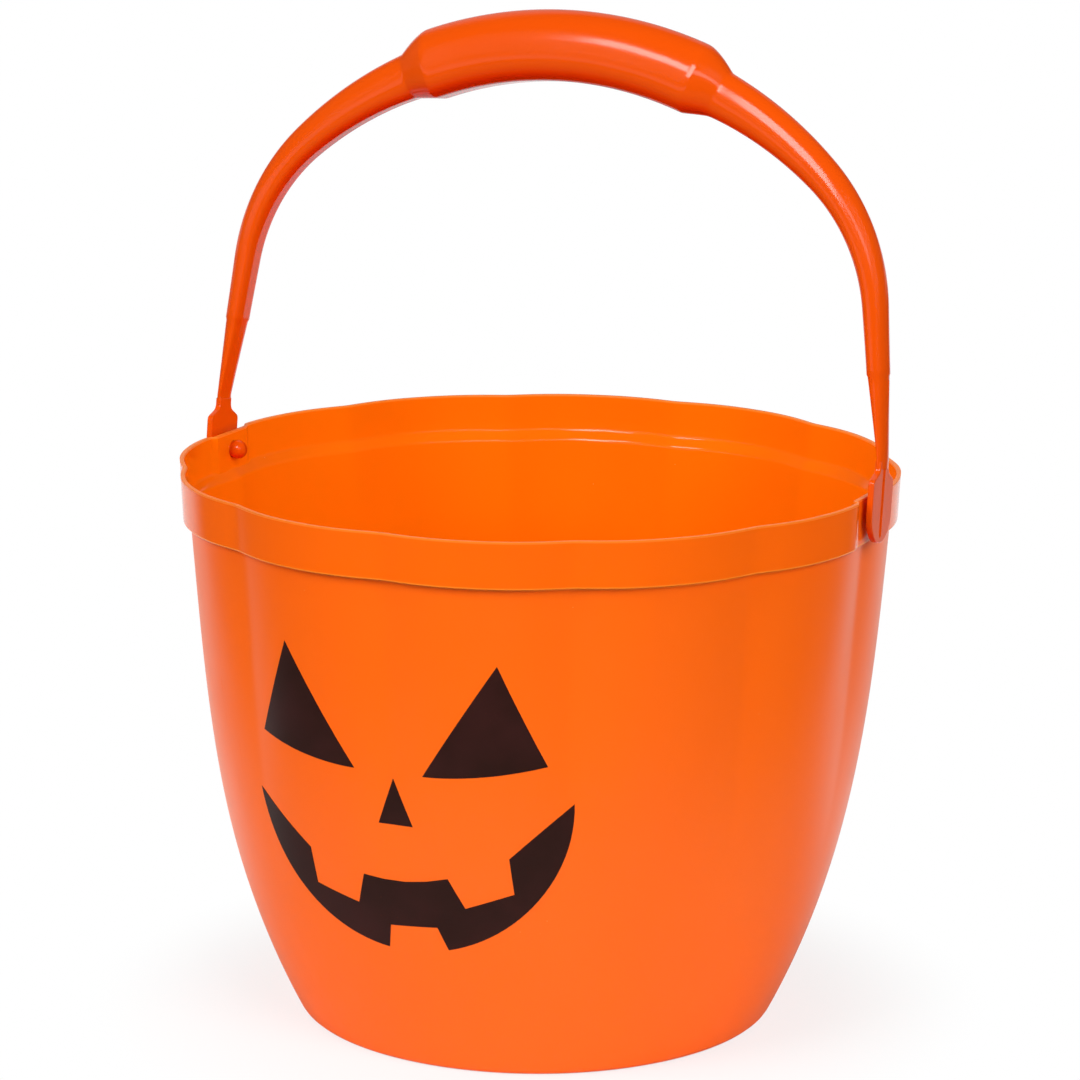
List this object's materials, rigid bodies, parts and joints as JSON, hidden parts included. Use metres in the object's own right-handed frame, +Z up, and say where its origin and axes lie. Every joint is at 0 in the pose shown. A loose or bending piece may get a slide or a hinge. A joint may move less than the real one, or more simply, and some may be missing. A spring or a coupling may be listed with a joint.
{
  "type": "pumpkin candy pail",
  "caption": "Orange lobed plastic bucket with a printed jack-o'-lantern face and a swinging carrying handle, for trick-or-treat sweets.",
  "frame": {"origin": "centre of the pail's foot, on the surface that it stands on", "axes": "+Z up along the pail's own axis, -Y towards the side with the face, X along the handle's hinge"},
  "size_m": [0.225, 0.2192, 0.3086],
  "materials": {
    "pail_orange": "smooth, softly glossy, a little translucent",
    "handle_orange": "smooth and glossy",
    "print_black": "thin brown-black ink, satin"
  },
  "bodies": {
    "pail": {"pail_shell": "pail_orange", "left_eye": "print_black", "right_eye": "print_black", "nose": "print_black", "mouth": "print_black"},
    "handle": {"handle": "handle_orange"}
  },
  "joints": [
    {"name": "handle_swing", "type": "hinge", "parent": "pail", "child": "handle", "pos_m": [0, 0, 0.1664], "axis": [1, 0, 0], "range_deg": [-111, 127]}
  ]
}
